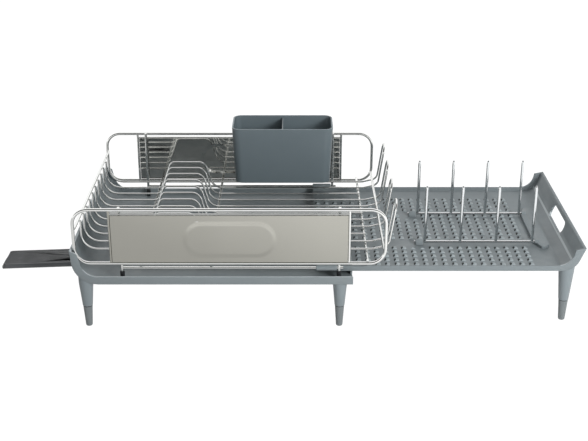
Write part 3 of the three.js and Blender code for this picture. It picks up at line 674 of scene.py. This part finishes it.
# Legs, tips and the spout's ring
legEdge = {"leg": 0.3, "tip": 1.1, "groove": 1.2, "ring": 0.3}
for node in list(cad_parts):
    if "_leg_" in node:
        body = "base" if node.startswith("base") else "extension"
        isTip = "_tip_" in node
        leg = workedCopy(node, node.replace("leg", "Leg"), legEdge["tip" if isTip else "leg"])
        dress(leg, tipPlastic if isTip else legPlastic, "leg_plastic", body, node)
        if isTip:
            leg.data.materials.append(nubShade)  # painted shade in a band at the top of the tip, where it meets the leg
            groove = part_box(node.replace("_tip", ""))[0].z - legEdge["groove"] * mm
            for face in leg.data.polygons:
                face.material_index = 1 if face.center.z > groove else 0
drainRing = workedCopy("drain_ring", "drainRing", legEdge["ring"])
dress(drainRing, darkPlastic, "dark_plastic", "spout", "drain_ring")
print("legs, tips and drain ring")

# Tine rows
tine = {
    "wire": 4.8, "length": 98, "shoulder": 92, "tip": ((1.56, 96.8), (1.04, 97.7)), "sides": 20,
    "places": (312.7, 370.7, 429.2, 488.2),
}
for side in ("front", "back"):
    node = f"tine_row_{side}"
    low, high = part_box(node)
    y = (low.y + high.y) / 2
    half = tine["wire"] / 2
    rod = low.z / mm + half
    left, right = ((end.x - rackMiddle) / mm for end in (low, high))
    parts = [drawWire("rod", [(left, y / mm, rod), (right, y / mm, rod)], tine["wire"])]
    profile = [(0, 0), (half, 0), (half, tine["shoulder"]), *tine["tip"], (0, tine["length"])]
    for x in tine["places"]:
        parts.append(spinPiece("tine", profile, at(x, y / mm, rod), tine["sides"]))
    dress(joinPieces(f"tineRow_{side}", parts), tineChrome, "chrome_wire", f"tines_{side}", node)
print("tine rows")

# Camera at the photograph's view
view = {"place": (98.7, -1749.4, 861.7), "pitch": 66.617, "lens": 68.83, "sensor": 36}
pickNothing()
bpy.ops.object.camera_add(location=at(*view["place"]), rotation=(math.radians(view["pitch"]), 0, 0))
camera = bpy.context.object
camera.data.lens = view["lens"]
camera.data.sensor_width = view["sensor"]
bpy.context.scene.camera = camera
bpy.context.scene.view_settings.view_transform = "Standard"

# Floor: white to the camera and keeping a share of the shadow, in reflections brighter to the front right
stageSettings = {
    "size": 14, "cells": 4, "drop": 0.0002, "paper": 0.8, "roughness": 0.9, "gloss": 0.1,
    "shadowShare": 0.08, "seen": 1.12, "front": 1.32, "back": 0.74, "reach": (-0.78, -0.26),
    "sideways": -0.85,
}
pickNothing()
cells = stageSettings["cells"]
bpy.ops.mesh.primitive_grid_add(size=stageSettings["size"], x_subdivisions=cells, y_subdivisions=cells,
                                location=(0, 0, -stageSettings["drop"]))
floor = bpy.context.object
floor.name = "floor"
floorMaterial, tree, shader = startMaterial("floorPaper")
shader.inputs["Base Color"].default_value = (*[stageSettings["paper"]] * 3, 1)
shader.inputs["Roughness"].default_value = stageSettings["roughness"]
shader.inputs["Specular IOR Level"].default_value = stageSettings["gloss"]
rays = tree.nodes.new("ShaderNodeLightPath").outputs
spot = partsOf(tree, tree.nodes.new("ShaderNodeTexCoord").outputs["Object"])
aside = mathStep(tree, "MULTIPLY_ADD", spot["X"], stageSettings["sideways"], spot["Y"])
mirrored = rangeStep(tree, aside, stageSettings["reach"], (stageSettings["front"], stageSettings["back"]),
                     "SMOOTHSTEP")
glow = tree.nodes.new("ShaderNodeEmission")
tree.links.new(mixStep(tree, rays["Is Glossy Ray"], stageSettings["seen"], mirrored), glow.inputs["Strength"])
seen = mathStep(tree, "MAXIMUM", rays["Is Camera Ray"], rays["Is Glossy Ray"])
seen = mathStep(tree, "MAXIMUM", seen, rays["Is Transmission Ray"])
mixed = tree.nodes.new("ShaderNodeMixShader")
tree.links.new(mathStep(tree, "MULTIPLY", seen, 1 - stageSettings["shadowShare"]), mixed.inputs["Fac"])
tree.links.new(shader.outputs["BSDF"], mixed.inputs[1])
tree.links.new(glow.outputs["Emission"], mixed.inputs[2])
tree.links.new(mixed.outputs["Shader"], tree.nodes["Material Output"].inputs["Surface"])
floor.data.materials.append(floorMaterial)

# World: even light, white to the camera, in reflections bright above, behind and low down, and dark in front
light = {
    "colour": 0.8, "world": 0.2, "seen": 1.3, "front": 0.06, "right": 0.6, "side": (0.1, 0.9),
    "sky": 1.45, "lean": 0.17, "edge": (-0.08, 0.1), "sweep": 1.7, "sweepEdge": (0.1, 0.24),
}
world = bpy.data.worlds.new("studio")
bpy.context.scene.world = world
world.use_nodes = True
tree = world.node_tree
tree.nodes.clear()
rays = tree.nodes.new("ShaderNodeLightPath").outputs
way = partsOf(tree, tree.nodes.new("ShaderNodeTexCoord").outputs["Generated"])
upward = mathStep(tree, "MULTIPLY_ADD", way["Z"], light["lean"], way["Y"])
sideways = rangeStep(tree, way["X"], light["side"], (light["front"], light["right"]))
sweep = rangeStep(tree, way["Z"], light["sweepEdge"], (light["sweep"], 0))
lower = mathStep(tree, "MAXIMUM", sideways, sweep)
climb = rangeStep(tree, upward, light["edge"], (lower, light["sky"]), "SMOOTHSTEP")
mirrored = mixStep(tree, rays["Is Glossy Ray"], light["world"], climb)
background = tree.nodes.new("ShaderNodeBackground")
background.inputs["Color"].default_value = (*[light["colour"]] * 3, 1)
tree.links.new(mixStep(tree, rays["Is Camera Ray"], mirrored, light["seen"]), background.inputs["Strength"])
output = tree.nodes.new("ShaderNodeOutputWorld")
tree.links.new(background.outputs["Background"], output.inputs["Surface"])

# Lamps: (place, size, watts), all turned to one point of the rack
lampTarget = Vector((0, 0, 0.1))
lamps = {
    "key": ((1.2, -1.6, 0.95), 0.6, 36),
    "top": ((0.4, -0.45, 0.95), 0.5, 1.6),
    "left": ((-1.4, -1.6, 0.9), 1.2, 4.5),
    "back": ((-0.6, 1.8, 0.75), 1.2, 17),
}
for name, (place, size, watts) in lamps.items():
    pickNothing()
    bpy.ops.object.light_add(type="AREA", location=place)
    lamp = bpy.context.object
    lamp.name = name
    lamp.data.size = size
    lamp.data.energy = watts
    lamp.visible_glossy = False
    aim = lampTarget - Vector(place)
    lamp.rotation_euler = aim.to_track_quat("-Z", "Y").to_euler()
print("camera, floor and lamps")
